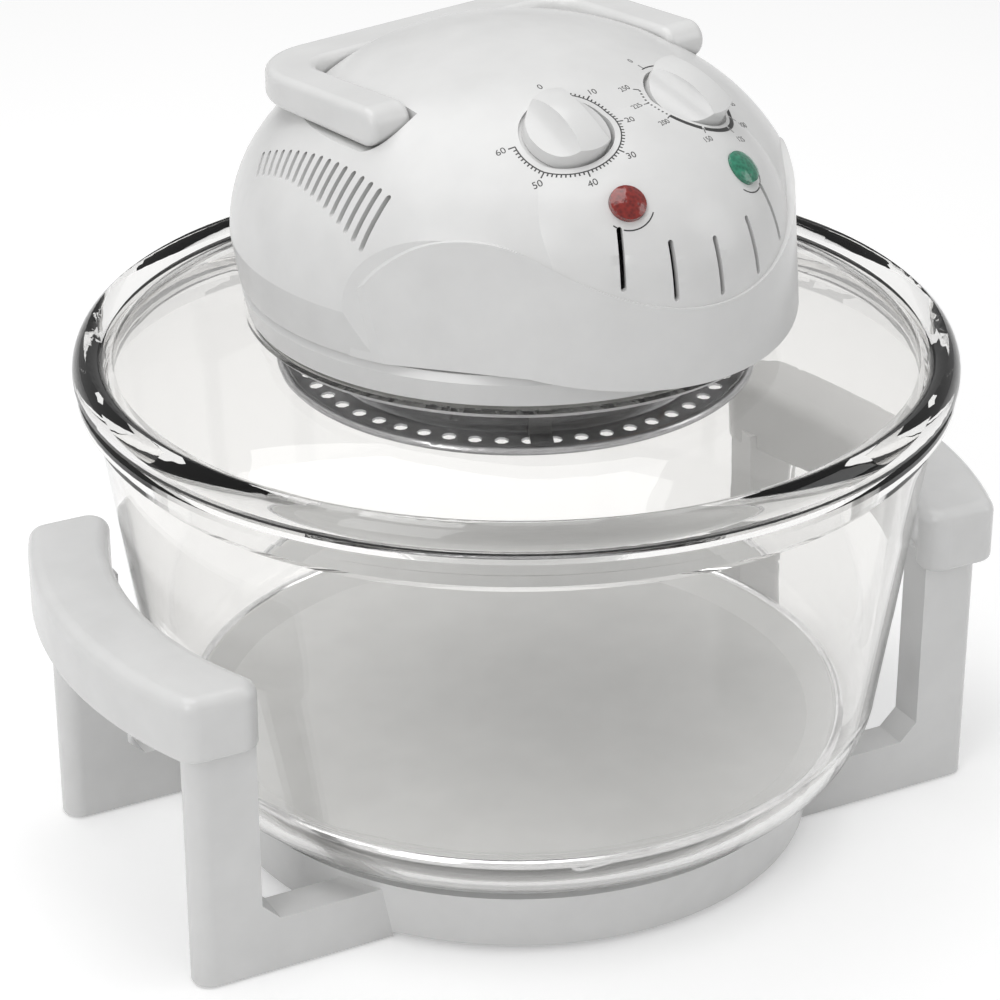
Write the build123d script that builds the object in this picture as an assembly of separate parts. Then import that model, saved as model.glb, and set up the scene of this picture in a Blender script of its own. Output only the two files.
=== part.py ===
"""Halogen oven: glass bowl on a moulded stand, with a lift-off glass lid and heater head.

Millimetres, +Z up, floor at z = 0.  The control panel faces -Y and the bowl's axis is the Z axis.
"""

from build123d import *
from math import asin, cos, degrees, pi, radians, sin, sqrt, tan
import os

os.makedirs("parts", exist_ok=True)

# ---------------------------------------------------------------- driving dimensions
# clearances
SEAT_GAP = 0.8              # silicone gaskets between glass and plastic
FREE_GAP = 0.3              # between loose pieces that rest on each other
RUNNING_GAP = 0.05          # radial, round shafts and pins that turn

# stand
STAND_TURN = -12.0          # the stand is turned this far under the head, degrees
FOOT_PROUD = 1.0            # rubber feet stand out below the arms
FOOT_RADIUS = 4.5
ARM_HEIGHT = 21.5
LEG_OUTER_X = 164.5
LEG_WIDTH = 25.0
LEG_OUTER_Y = 71.8
LEG_DEPTH = 14.5
LEG_CORNER = 6.5
WEB = 7.0                   # gusset between arm and leg
GRIP_INNER_RADIUS = 153.5
GRIP_OUTER_RADIUS = 183.5
GRIP_HALF_LENGTH = 77.0
GRIP_BOTTOM = 97.0
GRIP_TOP = 122.0
GRIP_END_RADIUS = 8.0
RING_BOTTOM = 3.0
RING_TOP = 25.4
RING_FOOT_RADIUS = 114.0
RING_TOP_RADIUS = 117.5
RING_SHELF_RADIUS = 92.0
RING_WALL = 3.0
RING_RIBS = 12
STAND_SCREW_RADIUS = 1.8

# bowl
GLASS = 4.0
BOWL_BASE = 24.0
BOWL_FLAT_RADIUS = 100.0
BOWL_CORNER = 40.0
BOWL_DRAFT = 7.86
BOWL_SHOULDER = 171.0
BOWL_RIM = 186.0
BOWL_RIM_RADIUS = 162.0

# rack and tray
WIRE = 1.6
RACK_RADIUS = 112.0
RACK_INNER_RADIUS = 62.0
RACK_LEVEL = 39.0           # centre line of the rack's top rings
RACK_LEG_HALF_SPAN = 27.0
RACK_LEG_LEVEL = 31.8       # centre line of the wire at the foot of each leg
TRAY_RADIUS = 126.0
TRAY_DEPTH = 7.4
TRAY_SHEET = 1.0
TRAY_BEAD = 1.7

# lid glass
LID_RIM_HEIGHT = 12.6
LID_BULGE = 1.0             # the lid's rim stands out past the bowl's rim
LID_SKIRT_DEPTH = 5.5
LID_SKIRT_GAP = 1.9
LID_HOLE_RADIUS = 90.0
LID_CROWN = 211.4           # top of the flat seat for the head
LID_SEAT_WIDTH = 9.5

# head casings
WALL = 2.6
FLANGE_RADIUS = 98.5
NECK_GAP = 1.2
SEAM = 223.4
SEAM_GAP = 1.0
DOME_RADIUS = 103.7
DOME_EQUATOR = 241.0
DOME_TOP = 313.5
DOME_FOOT_RADIUS = 101.0
DOME_ARCS = 4               # arcs that make up a dome's section
NOSE_FORWARD = 31.5         # the nose's own axis is this far in front of the bowl's axis
NOSE_RADIUS = 78.3
NOSE_EQUATOR = 239.0
NOSE_TOP = 303.6
NOSE_SQUARENESS = 2.25      # 2 is an ellipse, more is boxier
SKIRT_PROUD = 1.0
SKIRT_DRAFT = 4.0
SKIRT_FRONT_BOTTOM = 218.0
SKIRT_CREASE = 245.0        # height of the crease at the middle of the front
CREASE_RADIUS = 94.2        # the crease rises to each side on this radius
CREST_X = 72.0
CREST = 270.6
SCOOP_ANGLE = 53.9          # direction of the flat scoop, from the front, to either side
BOSS_RING = 82.0
BOSS_RADIUS = 4.0
BOSS_ANGLES = (40, 140, 220, 320)
SCREW_RADIUS = 1.6

# slots in the head
GROOVES = 5
GROOVE_STEP = 14.0
GROOVE_WIDTH = 2.0
GROOVE_LENGTH = 20.0
GROOVE_RISE = 2.2           # lower ends stand this far above the crease
VENTS = 17
VENT_WIDTH = 1.8
VENT_PITCH = 4.3
VENT_FRONT_Y = -31.0
VENT_TOPS = (280.0, 284.2, 275.0)       # front, middle and back of the row
VENT_FEET = (262.5, 273.6, 268.7)
VENT_LEANS = (-2.0, 10.0, 38.0)         # degrees away from upright

# controls
KNOB_X = 27.3
KNOB_Y = -59.4
KNOB_SURFACE = 298.4
KNOB_TILT = 27.0
KNOB_LEAN = 4.0
KNOB_RADIUS = 14.9
KNOB_HEIGHT = 13.0
KNOB_PLATE = 4.5            # height of the round plate under the grip bar
KNOB_BAR = 9.0              # width of the grip bar at its top
RECESS_RADIUS = 16.2
RECESS_DEPTH = 4.6
KNOB_GAP = 0.5
SHAFT_RADIUS = 3.0
SHAFT_HOLE_GAP = 0.4
TIMER_RADIUS = 17.0
TIMER_DEPTH = 26.0
THERMOSTAT_SIZE = (32.0, 26.0, 18.0)
OFF_TURN = 10.0             # the knobs' pointers rest this far anticlockwise from straight up
LAMP_X = 26.3
LAMP_Y = -89.6
LAMP_SURFACE = 281.0
LAMP_TILT = 41.0
LAMP_LEAN = 12.0
LENS_RADIUS = 6.4
LENS_STEM = 5.0

# carry handle
HANDLE_OUTER_X = 76.5
HANDLE_BAR = 17.2
HANDLE_BACK = 66.0
HANDLE_GRIP = 19.0
HANDLE_CORNER = 29.0
HANDLE_INNER_CORNER = 12.0
HANDLE_PIVOT_Y = -9.0
HANDLE_PIVOT_Z = 296.5
HANDLE_END_RADIUS = 7.0
HANDLE_BACK_TOP = 301.0
HANDLE_GAP = 1.0
PIN_RADIUS = 2.5
PLUNGER_X = 66.0
PLUNGER_Y = 18.0
PLUNGER_RADIUS = 2.2
PLUNGER_LENGTH = 12.0

# cord inlet
GLAND_Z = 240.5
GLAND_RADIUS = 7.0
CORD_RADIUS = 3.6

# heater and fan
PAN_SHEET = 0.8
PAN_SKIRT = 8.0
GUARD_RADIUS = 88.4
GUARD_LEVEL = 188.9
GUARD_SHEET = 0.8
GUARD_STEP_RADIUS = 72.8
GUARD_STEP = 1.9
GUARD_BEAD = 1.6
GUARD_HOLE = 2.6
GUARD_ROWS = ((14.0, 9), (24.0, 15), (34.0, 21), (44.0, 27), (54.0, 33), (64.0, 40), (80.0, 54))
STRAP_ANGLES = (-123.5, -3.5, 116.5)
STRAP_WIDTH = 8.0
HEATER_RADIUS = 66.0
HEATER_TUBE = 5.0
HEATER_LEVEL = 199.0
HEATER_GAP = 26.0           # opening between the lamp's two ends, degrees
CAP_RADIUS = 6.2
CAP_LENGTH = 13.0
FAN_RADIUS = 47.0
FAN_BOTTOM = 197.5
FAN_HEIGHT = 9.0
FAN_BLADES = 8
MOTOR_SHAFT_RADIUS = 2.5
STACK_BOTTOM = 238.0
STACK_HEIGHT = 16.0
STACK_WIDTH = 44.0
ROTOR_RADIUS = 11.5
ROTOR_GAP = 0.5
BEARING_RADIUS = 5.0
COOLER_RADIUS = 26.0
COOLER_BOTTOM = 259.5
COOLER_HEIGHT = 8.0
COOLER_BLADES = 7

# ---------------------------------------------------------------- derived levels
BOWL_FLOOR = BOWL_BASE + GLASS
RACK_TOP = RACK_LEVEL + WIRE
TRAY_BASE = RACK_TOP + FREE_GAP
TRAY_RIM = TRAY_BASE + TRAY_DEPTH
FLANGE_BOTTOM = LID_CROWN + SEAT_GAP
HOUSING_BOTTOM = SEAM + SEAM_GAP
SHELF_UNDER = FLANGE_BOTTOM + 1.6
SHELF_TOP = SHELF_UNDER + 2.0
PAN_UNDER = SHELF_UNDER - PAN_SHEET
NECK_RADIUS = LID_HOLE_RADIUS - NECK_GAP
NECK_WALL = 2.3
NECK_BOTTOM = LID_CROWN - GLASS - 4.0
CREASE_CENTRE = SKIRT_CREASE + CREASE_RADIUS
HANDLE_BOTTOM = HANDLE_PIVOT_Z - HANDLE_END_RADIUS
HANDLE_TOP = HANDLE_PIVOT_Z + HANDLE_END_RADIUS
POCKET_FLOOR = HANDLE_BOTTOM - HANDLE_GAP
TIMER_FACE = -RECESS_DEPTH - WALL


# ---------------------------------------------------------------- helpers
def outline(*pieces):
    """Face inside a closed chain of lines and arcs."""
    return make_face(Curve() + list(pieces))


def lathe(points):
    """Solid of revolution about the Z axis from (radius, height) corners."""
    wire = Polyline(*[(radius, 0, height) for radius, height in points], close=True)
    return revolve(make_face(wire), Axis.Z, 360)


def tube(radius, bore, bottom, top):
    """Ring with a rectangular section."""
    return lathe([(bore, bottom), (radius, bottom), (radius, top), (bore, top)])


def disc(radius, bottom, top, x=0.0, y=0.0):
    """Upright cylinder between two heights."""
    return Pos(x, y, (bottom + top) / 2) * Cylinder(radius, top - bottom)


def block(x_low, x_high, y_low, y_high, z_low, z_high):
    """Box between limits."""
    centre = Pos((x_low + x_high) / 2, (y_low + y_high) / 2, (z_low + z_high) / 2)
    return centre * Box(x_high - x_low, y_high - y_low, z_high - z_low)


def slab_yz(points, half_width):
    """Side view in the YZ plane, thickened evenly to both sides of the middle."""
    face = make_face(Polyline(*[(0, y, z) for y, z in points], close=True))
    return extrude(face, half_width, dir=(1, 0, 0), both=True)


def mirrored(shape):
    """The same piece on the other side of the head."""
    return mirror(shape, Plane.YZ)


def join(shapes):
    """Fuse a list of shapes."""
    first, *rest = shapes
    return first.fuse(*rest) if rest else first


def ring_of(shape, count, start=0.0):
    """Copies of a shape spaced evenly about the Z axis."""
    return [Rot(0, 0, start + 360.0 * i / count) * shape for i in range(count)]


def wire_ring(ring_radius, wire_radius, level):
    """Closed ring of round wire."""
    return Pos(0, 0, level) * Torus(ring_radius, wire_radius)


def wire_hoop(ring_radius, wire_radius, level):
    """Closed ring of wire with a twelve-sided section, to weld other wires to."""
    angles = [2 * pi * (i + 0.5) / 12 for i in range(12)]
    return lathe([(ring_radius + wire_radius * cos(a), level + wire_radius * sin(a)) for a in angles])


def rod(start, end, radius):
    """Straight round rod between two points."""
    run = Vector(*end) - Vector(*start)
    return Plane(origin=Vector(*start), z_dir=run) * Pos(0, 0, run.length / 2) * Cylinder(radius, run.length)


def bent_rod(points, radius, bend):
    """Round rod along straight runs with rounded corners."""
    path = FilletPolyline(*points, radius=bend)
    start = Plane(origin=path @ 0, z_dir=path % 0)
    return sweep(start * Circle(radius), path)


def bow(share, front, middle, back):
    """Value on the smooth curve through three values, at share 0, a half and 1."""
    rise = back - front
    belly = 2.0 * (2.0 * middle - front - back)
    return front + rise * share + belly * share * (1.0 - share)


# ---------------------------------------------------------------- stand
def ring_profile():
    """Section of the flared base ring."""
    shelf_low = BOWL_BASE - RING_WALL
    inner_foot = RING_FOOT_RADIUS - RING_WALL
    lip = RING_TOP_RADIUS - 2 * RING_WALL
    return [
        (RING_SHELF_RADIUS, shelf_low), (inner_foot - RING_WALL, shelf_low), (inner_foot, RING_BOTTOM),
        (RING_FOOT_RADIUS, RING_BOTTOM), (RING_TOP_RADIUS, RING_TOP), (lip, RING_TOP),
        (lip - 2.0, BOWL_BASE), (RING_SHELF_RADIUS, BOWL_BASE),
    ]


def base_ring():
    """Flared ring with an inner shelf for the bowl and ribs under the shelf."""
    shelf_low = BOWL_BASE - RING_WALL
    inner_foot = RING_FOOT_RADIUS - RING_WALL
    outline = Polyline((RING_SHELF_RADIUS + 2.0, 0, shelf_low + 0.5), (inner_foot - 1.0, 0, shelf_low + 0.5),
                       (inner_foot + 0.3, 0, RING_BOTTOM + 1.0), (inner_foot - 4.0, 0, RING_BOTTOM + 1.0),
                       close=True)
    rib = extrude(make_face(outline), 1.1, dir=(0, 1, 0), both=True)
    ring = join([lathe(ring_profile())] + ring_of(rib, RING_RIBS, 15.0))
    return ring - stand_screw_holes()


def ring_plug():
    """Everything inside the ring's outer face, to seat the arms against it."""
    slope = (RING_TOP_RADIUS - RING_FOOT_RADIUS) / (RING_TOP - RING_BOTTOM)
    low = RING_FOOT_RADIUS - slope * (RING_BOTTOM + 5.0)
    high = RING_TOP_RADIUS + slope * 60.0
    return lathe([(0, -5.0), (low, -5.0), (high, RING_TOP + 60.0), (0, RING_TOP + 60.0)])


def handle_bracket():
    """Carrying bracket at +X: two arms, two legs and the curved grip."""
    leg_inner = LEG_OUTER_X - LEG_WIDTH
    arm_top = FOOT_PROUD + ARM_HEIGHT
    leg_top = GRIP_BOTTOM + 6.0
    side = make_face(Polyline(
        (88.0, 0, FOOT_PROUD), (LEG_OUTER_X, 0, FOOT_PROUD), (LEG_OUTER_X, 0, leg_top),
        (leg_inner, 0, leg_top), (leg_inner, 0, arm_top + WEB), (leg_inner - WEB, 0, arm_top),
        (88.0, 0, arm_top), close=True))
    frame = Pos(0, LEG_OUTER_Y, 0) * extrude(side, LEG_DEPTH, dir=(0, -1, 0))
    frame = fillet(frame.edges().filter_by(Axis.Z).group_by(Axis.X)[-1], LEG_CORNER)
    frame = frame - ring_plug()
    sector = disc(GRIP_OUTER_RADIUS, GRIP_BOTTOM, GRIP_TOP) - disc(GRIP_INNER_RADIUS, 0, 200)
    grip = sector & block(100, 200, -GRIP_HALF_LENGTH, GRIP_HALF_LENGTH, 0, 200)
    grip = fillet(grip.edges().filter_by(Axis.Z), GRIP_END_RADIUS)
    grip = fillet(grip.edges().group_by(Axis.Z)[-1], 5.0)
    grip = fillet(grip.edges().group_by(Axis.Z)[0], 2.0)
    bracket = join([frame, mirror(frame, Plane.XZ), grip])
    return bracket - stand_screw_holes()


def stand_screw_places():
    """Inner end and direction angle of each screw through the ring into an arm."""
    lean = degrees(asin((LEG_OUTER_Y - 0.65 * LEG_DEPTH) / RING_FOOT_RADIUS))
    return [lean, -lean, 180.0 - lean, 180.0 + lean]


def stand_screw(radius, head):
    """One radial screw at angle 0, with or without its head."""
    level = FOOT_PROUD + ARM_HEIGHT / 2
    inner = RING_FOOT_RADIUS - RING_WALL - 2.6
    shank = rod((inner, 0, level), (RING_TOP_RADIUS + 8.0, 0, level), radius)
    if head:
        shank = shank + rod((inner - 2.0, 0, level), (inner, 0, level), 2 * radius)
    return shank


def stand_screw_holes():
    return Compound(children=[Rot(0, 0, a) * stand_screw(STAND_SCREW_RADIUS, False) for a in stand_screw_places()])


def bracket_screws():
    return Compound(children=[Rot(0, 0, a) * stand_screw(STAND_SCREW_RADIUS, True) for a in stand_screw_places()])


def stand_feet():
    y = LEG_OUTER_Y - LEG_DEPTH / 2
    x = LEG_OUTER_X - 15.0
    pads = [disc(FOOT_RADIUS, 0.0, FOOT_PROUD, i * x, j * y) for i in (-1, 1) for j in (-1, 1)]
    return Compound(children=pads)


# ---------------------------------------------------------------- bowl
def bowl_wall(height, inset=0.0):
    """Outer radius of the bowl's wall at a height, less an inset."""
    lean = radians(BOWL_DRAFT)
    start = BOWL_BASE + BOWL_CORNER * (1 - sin(lean))
    return BOWL_FLAT_RADIUS + BOWL_CORNER * cos(lean) + (height - start) * tan(lean) - inset


def corner_points(radius):
    """Start, middle and end of the bowl's rounded corner at a given radius."""
    points = []
    for angle in (-90.0, (-90.0 - BOWL_DRAFT) / 2, -BOWL_DRAFT):
        x = BOWL_FLAT_RADIUS + radius * cos(radians(angle))
        z = BOWL_BASE + BOWL_CORNER + radius * sin(radians(angle))
        points.append((x, 0, z))
    return points


def glass_bowl():
    outer = corner_points(BOWL_CORNER)
    inner = corner_points(BOWL_CORNER - GLASS)
    neck = BOWL_RIM_RADIUS - 3.8
    section = outline(
        Line((0, 0, BOWL_BASE), outer[0]),
        ThreePointArc(*outer),
        Polyline(outer[2], (bowl_wall(BOWL_SHOULDER), 0, BOWL_SHOULDER), (neck, 0, BOWL_SHOULDER + 3.4),
                 (neck, 0, BOWL_RIM - 7.6), (BOWL_RIM_RADIUS, 0, BOWL_RIM - 5.2),
                 (BOWL_RIM_RADIUS, 0, BOWL_RIM - 1.5), (BOWL_RIM_RADIUS - 1.5, 0, BOWL_RIM),
                 (bowl_wall(BOWL_RIM, GLASS), 0, BOWL_RIM), inner[2]),
        ThreePointArc(*reversed(inner)),
        Polyline(inner[0], (0, 0, BOWL_FLOOR), (0, 0, BOWL_BASE)),
    )
    return revolve(section, Axis.Z, 360)


# ---------------------------------------------------------------- rack and tray
def low_rack():
    """Two wire rings on cross bars, with three looped legs."""
    bar_level = RACK_LEVEL - 1.6 * WIRE
    bar = rod((-RACK_RADIUS, 0, bar_level), (RACK_RADIUS, 0, bar_level), WIRE)
    chord = sqrt(RACK_RADIUS ** 2 - RACK_LEG_HALF_SPAN ** 2)
    leg_top = RACK_LEVEL - 0.6
    corners = [(leg_top, -1), (RACK_LEG_LEVEL, -1), (RACK_LEG_LEVEL, 1), (leg_top, 1)]
    loop = bent_rod([(chord, side * RACK_LEG_HALF_SPAN, level) for level, side in corners], WIRE, 3.0)
    hoops = [wire_hoop(radius, WIRE, RACK_LEVEL) for radius in (RACK_RADIUS, RACK_INNER_RADIUS)]
    rack = hoops[0]
    for piece in [Rot(0, 0, 60) * bar, hoops[1], Rot(0, 0, -30) * bar] + ring_of(loop, 3, 15.0):
        rack = rack + piece
    return rack


def baking_tray():
    """Shallow enamelled pan with a flat floor and a rising edge."""
    edge = TRAY_RADIUS - TRAY_BEAD
    return lathe([
        (0, TRAY_BASE), (edge - 10.0, TRAY_BASE), (edge, TRAY_RIM - TRAY_BEAD - TRAY_SHEET / 2),
        (edge + 0.4, TRAY_RIM - TRAY_BEAD - TRAY_SHEET / 2), (edge + 0.4, TRAY_RIM - TRAY_BEAD + TRAY_SHEET / 2),
        (edge - TRAY_SHEET, TRAY_RIM - TRAY_BEAD + TRAY_SHEET / 2),
        (edge - 10.0 - TRAY_SHEET, TRAY_BASE + TRAY_SHEET), (0, TRAY_BASE + TRAY_SHEET),
    ])


def tray_rim():
    """Bright rolled bead round the tray."""
    return wire_hoop(TRAY_RADIUS, TRAY_BEAD, TRAY_RIM - TRAY_BEAD) - baking_tray()


# ---------------------------------------------------------------- lid glass
def glass_lid():
    outer = BOWL_RIM_RADIUS + LID_BULGE
    top = BOWL_RIM + LID_RIM_HEIGHT
    skirt = bowl_wall(BOWL_RIM, GLASS) - LID_SKIRT_GAP
    skirt_end = BOWL_RIM - LID_SKIRT_DEPTH
    seat = (LID_HOLE_RADIUS + LID_SEAT_WIDTH, 0, LID_CROWN)
    under_seat = (LID_HOLE_RADIUS + LID_SEAT_WIDTH - 0.5, 0, LID_CROWN - GLASS)
    groove_out = (skirt + 0.5, 0, top - 4.9)
    groove_in = (skirt - 2.8, 0, top - 5.0)
    crown_middle = (127.0, 0, BOWL_RIM + 17.4)
    under_middle = (126.0, 0, BOWL_RIM + 13.5)
    under_end = (skirt - GLASS, 0, BOWL_RIM + 4.4)
    section = outline(
        Polyline((skirt, 0, BOWL_RIM), (outer - 2.0, 0, BOWL_RIM), (outer, 0, BOWL_RIM + 2.4)),
        ThreePointArc((outer, 0, BOWL_RIM + 2.4), (outer - 0.9, 0, BOWL_RIM + 8.2), (outer - 4.7, 0, top)),
        ThreePointArc((outer - 4.7, 0, top), (outer - 8.4, 0, top - 1.6), groove_out),
        Line(groove_out, groove_in),
        ThreePointArc(groove_in, crown_middle, seat),
        Polyline(seat, (LID_HOLE_RADIUS, 0, LID_CROWN), (LID_HOLE_RADIUS, 0, LID_CROWN - GLASS), under_seat),
        ThreePointArc(under_seat, under_middle, under_end),
        Polyline(under_end, (skirt - GLASS, 0, skirt_end), (skirt - 1.0, 0, skirt_end),
                 (skirt, 0, skirt_end + 1.0), (skirt, 0, BOWL_RIM)),
    )
    return revolve(section, Axis.Z, 360)


# ---------------------------------------------------------------- head casings
def dome_solid(radius, equator, top, squareness, foot_radius, foot, inset=0.0):
    """Solid of revolution: a boxy quarter ellipse above the equator, a drawn-in foot below."""
    reach = radius - inset
    rise = top - equator - inset
    steps = 2 * DOME_ARCS
    crown = []
    for i in range(steps - 1):
        angle = pi / 2 * i / steps
        x = reach * cos(angle) ** (2.0 / squareness)
        z = equator + rise * sin(angle) ** (2.0 / squareness)
        crown.append((x, 0, z))
    peak = (0, 0, equator + rise)
    arcs = [ThreePointArc(*crown[i:i + 3]) for i in range(0, steps - 2, 2)]
    arcs.append(ThreePointArc(crown[-1], cap_middle(crown[-1], peak), peak))
    sides = Polyline(peak, (0, 0, foot), (foot_radius - inset, 0, foot), (reach, 0, equator))
    return revolve(outline(*arcs, sides), Axis.Z, 360)


def cap_middle(edge, peak):
    """Middle of the arc from an edge point to the peak, centred on the axis."""
    depth = peak[2] - edge[2]
    sphere = (edge[0] ** 2 + depth ** 2) / (2 * depth)
    angle = asin(edge[0] / sphere) / 2
    return (sphere * sin(angle), 0, peak[2] - sphere * (1 - cos(angle)))


def main_dome(inset=0.0):
    return dome_solid(DOME_RADIUS, DOME_EQUATOR, DOME_TOP, 2.0, DOME_FOOT_RADIUS, HOUSING_BOTTOM, inset)


def nose_dome(inset=0.0):
    dome = dome_solid(NOSE_RADIUS, NOSE_EQUATOR, NOSE_TOP, NOSE_SQUARENESS, NOSE_RADIUS,
                      SKIRT_FRONT_BOTTOM, inset)
    return Pos(0, -NOSE_FORWARD, 0) * dome


def skirt_radius(level):
    """Radius of the drafted skirt round the nose's axis at a height."""
    return NOSE_RADIUS + SKIRT_PROUD + (SKIRT_CREASE - level) * tan(radians(SKIRT_DRAFT))


def skirt_plan():
    """Top view of the front skirt at its foot: the nose arc, a flat on each side, closed behind."""
    radius = skirt_radius(SKIRT_FRONT_BOTTOM)
    lean = radians(SCOOP_ANGLE)
    tangent = (radius * sin(lean), -NOSE_FORWARD - radius * cos(lean))
    run = 64.0
    rear = (tangent[0] + run * cos(lean), tangent[1] + run * sin(lean))
    arc = ThreePointArc((-tangent[0], tangent[1]), (0, -NOSE_FORWARD - radius), tangent)
    back = Polyline(tangent, rear, (-rear[0], rear[1]), (-tangent[0], tangent[1]))
    return outline(arc, back)


def scoop_cutter(inset, side):
    """Everything beyond the leaning flat of the scoop on one side of the nose."""
    reach = NOSE_FORWARD * cos(radians(SCOOP_ANGLE)) + skirt_radius(DOME_EQUATOR) - SKIRT_PROUD - inset
    slab = Pos(30.0, 0, 0) * Box(60.0, 180.0, 200.0)
    leaning = Pos(reach, 0, DOME_EQUATOR) * Rot(0, -SKIRT_DRAFT, 0) * slab
    return Rot(0, 0, -90.0 + side * SCOOP_ANGLE) * leaning


def underside(rise=0.0):
    """Space under the head: level behind, falling away towards the front."""
    start = -82.0
    front = -NOSE_FORWARD - skirt_radius(SKIRT_FRONT_BOTTOM)
    back = 80.0
    return slab_yz([(back, HOUSING_BOTTOM + rise), (start, HOUSING_BOTTOM + rise),
                    (front, SKIRT_FRONT_BOTTOM + rise), (front - 30.0, SKIRT_FRONT_BOTTOM + rise),
                    (front - 30.0, 150.0), (back, 150.0)], 150.0)


def head_form(inset=0.0):
    """Dome and nose together, drawn in by an even inset."""
    dome = main_dome(inset) - scoop_cutter(inset, -1) - scoop_cutter(inset, 1)
    nose = nose_dome(inset) - underside(inset)
    return dome + nose


def crease_level(x):
    """Height of the crease at a distance from the middle."""
    return CREASE_CENTRE - sqrt(CREASE_RADIUS ** 2 - x ** 2)


def above_crease():
    """Space above the skirt's wave-shaped top edge, seen from the front."""
    shoulder_x = 58.0
    shoulder = (shoulder_x, 0, crease_level(shoulder_x))
    half_x = shoulder_x / 2
    fall = (84.0, 0, 266.6)
    end = (100.0, 0, 236.0)
    right = [
        ThreePointArc((0, 0, SKIRT_CREASE), (half_x, 0, crease_level(half_x)), shoulder),
        ThreePointArc(shoulder, (CREST_X, 0, CREST), fall),
        ThreePointArc(fall, (94.0, 0, 255.0), end),
    ]
    left = [mirror(edge, Plane.YZ) for edge in right]
    top = Polyline(end, (140.0, 0, end[2]), (140.0, 0, 330.0), (-140.0, 0, 330.0), (-140.0, 0, end[2]),
                   (-end[0], 0, end[2]))
    return extrude(outline(*right, *left, top), 160.0, dir=(0, -1, 0))


def front_skirt():
    """Lower front wall, standing proud of the band above it."""
    height = CREST - SKIRT_FRONT_BOTTOM + 2.0
    solid = Pos(0, 0, SKIRT_FRONT_BOTTOM) * extrude(skirt_plan(), height, taper=SKIRT_DRAFT)
    beside_dome = tube(160.0, DOME_FOOT_RADIUS + 0.5, 180.0, 320.0) & block(-160, 160, -60.0, 160, 180, 320)
    return solid - above_crease() - underside() - beside_dome


def panel_plane(x, y, surface, tilt, lean, side):
    """Plane on the control panel, with Z square to the panel and X level."""
    tilt_angle = radians(tilt)
    lean_angle = radians(lean)
    normal = Vector(side * sin(lean_angle), -sin(tilt_angle) * cos(lean_angle), cos(tilt_angle) * cos(lean_angle))
    level = Vector(0, 0, 1).cross(normal).normalized()
    up_slope = normal.cross(level)
    across = up_slope.cross(normal)
    return Plane(origin=(side * x, y, surface), x_dir=across, z_dir=normal)


def knob_plane(side):
    """Panel plane at a knob; -1 is the timer's side."""
    return panel_plane(KNOB_X, KNOB_Y, KNOB_SURFACE, KNOB_TILT, KNOB_LEAN, side)


def lamp_plane(side):
    """Panel plane at a pilot lamp; -1 is the timer's side."""
    return panel_plane(LAMP_X, LAMP_Y, LAMP_SURFACE, LAMP_TILT, LAMP_LEAN, side)


def panel_disc(plane, radius, low, high):
    """Cylinder square to the panel between two heights above it."""
    return plane * Pos(0, 0, (low + high) / 2) * Cylinder(radius, high - low)


def handle_plan(grow, open_sides=False):
    """Top view of the U-shaped handle, grown by a clearance; open sides run out of the head."""
    outer = HANDLE_OUTER_X + grow
    back = HANDLE_BACK + grow
    if open_sides:
        outer = HANDLE_OUTER_X + 60.0
        back = HANDLE_BACK + 80.0
    inner = HANDLE_OUTER_X - HANDLE_BAR - grow
    inner_back = HANDLE_BACK - HANDLE_GRIP - grow
    front = HANDLE_PIVOT_Y - HANDLE_END_RADIUS - 5.0
    shape = Pos(0, (front + back) / 2) * Rectangle(2 * outer, back - front)
    if not open_sides:
        shape = fillet(shape.vertices().group_by(Axis.Y)[-1], HANDLE_CORNER + grow)
    hole = Pos(0, (front + inner_back) / 2 - 10.0) * Rectangle(2 * inner, inner_back - front + 20.0)
    hole = fillet(hole.vertices().group_by(Axis.Y)[-1], HANDLE_INNER_CORNER - grow)
    return shape - hole


def handle_side(grow, top):
    """Side view of the handle as a solid: round end at the pivot, falling gently to the back."""
    radius = HANDLE_END_RADIUS + grow
    end = Pos(0, HANDLE_PIVOT_Y, HANDLE_PIVOT_Z) * Rot(0, 90, 0) * Cylinder(radius, 400.0)
    low = HANDLE_PIVOT_Z - radius
    high = HANDLE_PIVOT_Z + radius
    back = 160.0
    fall = (HANDLE_TOP - HANDLE_BACK_TOP) / (HANDLE_BACK - HANDLE_PIVOT_Y)
    drop = fall * (back - HANDLE_PIVOT_Y)
    roof = [(back, high - drop), (HANDLE_PIVOT_Y, high)] if top is None else [(back, top), (HANDLE_PIVOT_Y, top)]
    body = slab_yz([(HANDLE_PIVOT_Y, low), (back, low)] + roof, 200.0)
    if top is not None:
        body = body + slab_yz([(HANDLE_PIVOT_Y - radius, HANDLE_PIVOT_Z), (HANDLE_PIVOT_Y, HANDLE_PIVOT_Z),
                               (HANDLE_PIVOT_Y, top), (HANDLE_PIVOT_Y - radius, top)], 200.0)
    return body + end


def carry_handle():
    plan = Pos(0, 0, HANDLE_BOTTOM - 1.0) * extrude(handle_plan(0.0), 2 * HANDLE_END_RADIUS + 2.0)
    handle = plan & handle_side(0.0, None)
    roof = handle.faces().sort_by(Axis.Z)[-1]
    handle = fillet(roof.edges().filter_by(lambda edge: edge.center().Y > HANDLE_PIVOT_Y + 1.0), 3.0)
    for side in (-1, 1):
        hole = rod((side * (HANDLE_OUTER_X - HANDLE_BAR - 1.0), HANDLE_PIVOT_Y, HANDLE_PIVOT_Z),
                   (side * (HANDLE_OUTER_X - 3.0), HANDLE_PIVOT_Y, HANDLE_PIVOT_Z), PIN_RADIUS + RUNNING_GAP)
        handle = handle - hole
    return handle


def handle_pocket(grow):
    """Room in the dome for the folded handle, open at the top and to the sides."""
    plan = Pos(0, 0, 270.0) * extrude(handle_plan(grow, open_sides=True), 60.0)
    return plan & handle_side(grow, 330.0)


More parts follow.
